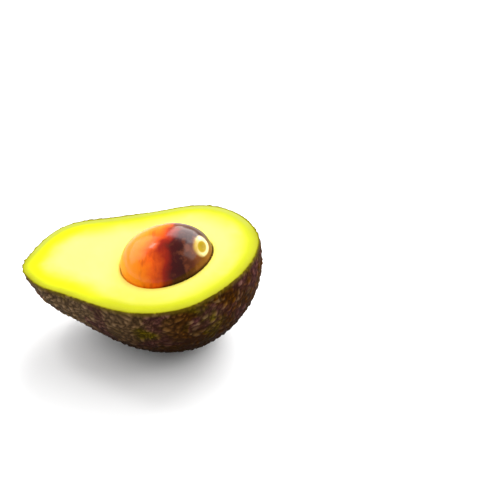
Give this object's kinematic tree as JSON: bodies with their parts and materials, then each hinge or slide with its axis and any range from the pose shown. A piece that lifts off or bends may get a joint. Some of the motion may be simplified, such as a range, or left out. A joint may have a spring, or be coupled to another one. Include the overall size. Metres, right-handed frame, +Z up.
{
  "type": "avocado half",
  "caption": "Half of a ripe avocado cut lengthwise, with its seed left in, resting on its skin with the cut face up.",
  "frame": {"origin": "on the surface that the fruit rests on, under the middle of the half", "axes": "+X along the fruit's length towards the blossom end, +Y across the cut face, +Z up"},
  "size_m": [0.1, 0.0712, 0.0552],
  "materials": {
    "skin": "pebbled dark brown and olive peel, semi-gloss",
    "flesh": "moist cut flesh, pale yellow with a green edge",
    "seed": "smooth glossy brown seed coat"
  },
  "bodies": {
    "root": {"skin": "skin", "flesh": "flesh", "seed": "seed"}
  },
  "joints": []
}
